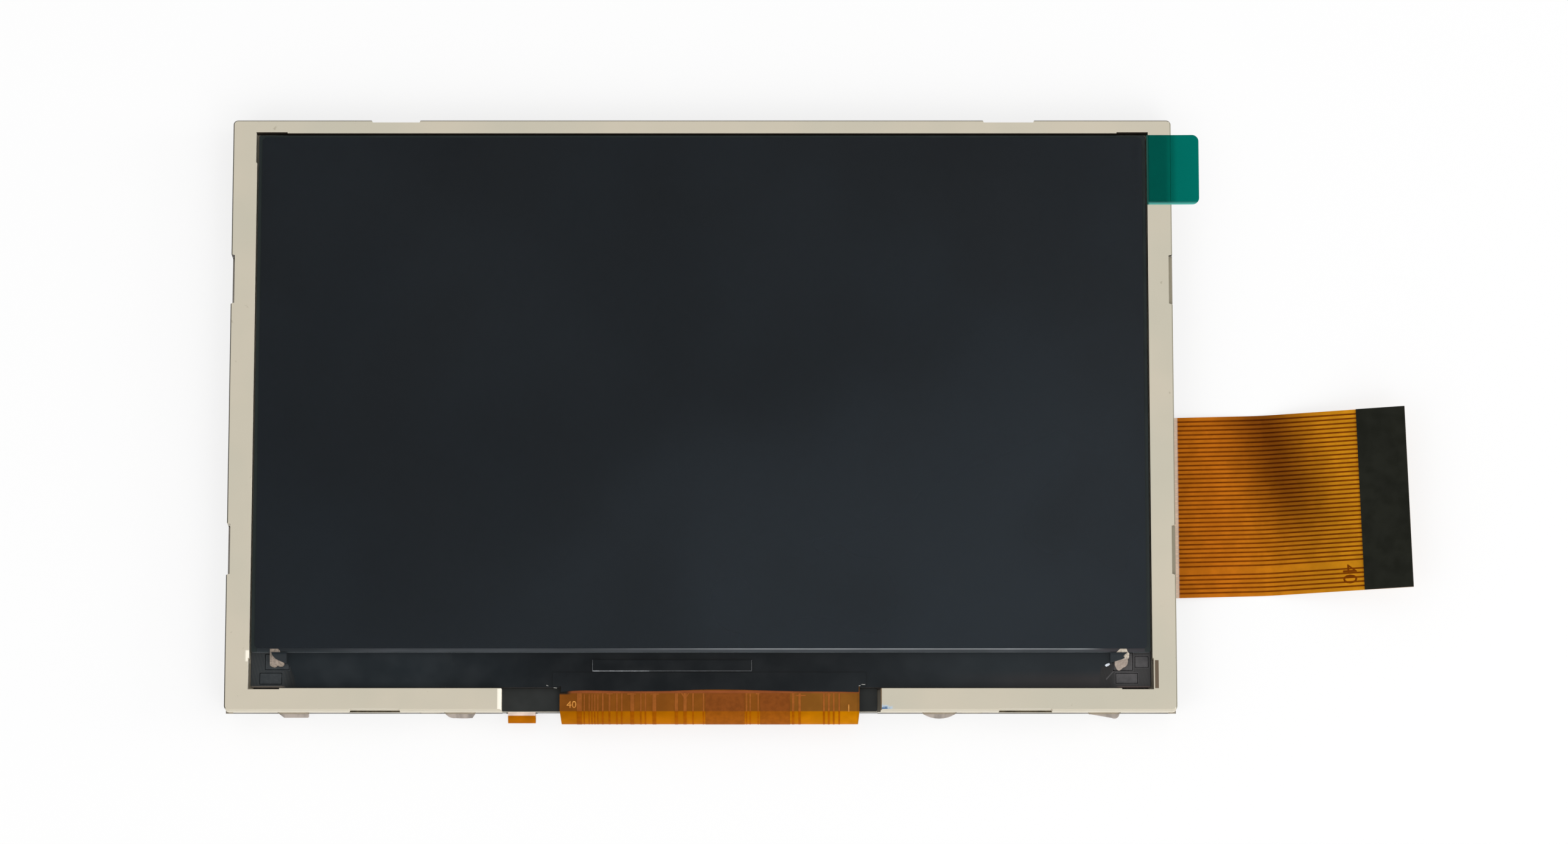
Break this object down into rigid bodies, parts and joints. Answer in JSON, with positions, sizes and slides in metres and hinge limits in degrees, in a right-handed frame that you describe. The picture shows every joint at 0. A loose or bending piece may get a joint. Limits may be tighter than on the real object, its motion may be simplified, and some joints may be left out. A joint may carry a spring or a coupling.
{
  "type": "tft display module",
  "caption": "Bare flat colour display panel in a moulded frame with a stamped metal back tray, a folded flex circuit at the bottom edge and a flat tail at the side.",
  "frame": {"origin": "centre of the tray's flat back face, which is the module's mounting plane", "axes": "+Z out of the display's face, +X to the right and +Y up as the display is seen from the front with the folded flex circuit along its lower edge and the tail at its right"},
  "size_m": [0.1319, 0.0685, 0.0038],
  "materials": {
    "back_tray": "satin",
    "mould_frame": "matte",
    "reflector_sheet": "glossy",
    "light_guide_plate": "clear",
    "led_packages": "glossy",
    "led_flex": "satin",
    "diffuser_sheet": "matte",
    "lower_prism_sheet": "satin",
    "upper_prism_sheet": "satin",
    "rim_tape": "matte",
    "rear_polarizer": "glossy",
    "tft_glass": "polished",
    "colour_filter_glass": "polished",
    "front_polarizer": "satin",
    "protective_film": "glossy",
    "pull_tab": "satin",
    "driver_chip": "polished",
    "bond_sealant": "satin",
    "silver_dots": "matte",
    "rail_tape": "matte",
    "main_flex": "satin",
    "fold_tracks": "satin under film",
    "tail_tracks": "satin under film",
    "tail_stiffener": "matte",
    "contact_fingers": "gilded",
    "wing_adhesive": "matte",
    "wing_tape": "satin",
    "flex_capacitors": "satin",
    "flex_resistors": "satin",
    "flex_diodes": "matte",
    "led_solder_joints": "satin"
  },
  "bodies": {
    "root": {"back_tray": "back_tray", "mould_frame": "mould_frame", "reflector_sheet": "reflector_sheet", "light_guide_plate": "light_guide_plate", "led_packages": "led_packages", "led_flex": "led_flex", "diffuser_sheet": "diffuser_sheet", "lower_prism_sheet": "lower_prism_sheet", "upper_prism_sheet": "upper_prism_sheet", "rim_tape": "rim_tape", "rear_polarizer": "rear_polarizer", "tft_glass": "tft_glass", "colour_filter_glass": "colour_filter_glass", "front_polarizer": "front_polarizer", "protective_film": "protective_film", "pull_tab": "pull_tab", "driver_chip": "driver_chip", "bond_sealant": "bond_sealant", "silver_dots": "silver_dots", "rail_tape": "rail_tape", "main_flex": "main_flex", "fold_tracks": "fold_tracks", "tail_tracks": "tail_tracks", "tail_stiffener": "tail_stiffener", "contact_fingers": "contact_fingers", "wing_adhesive": "wing_adhesive", "wing_tape": "wing_tape", "flex_capacitors": "flex_capacitors", "flex_resistors": "flex_resistors", "flex_diodes": "flex_diodes", "led_solder_joints": "led_solder_joints"}
  },
  "joints": []
}
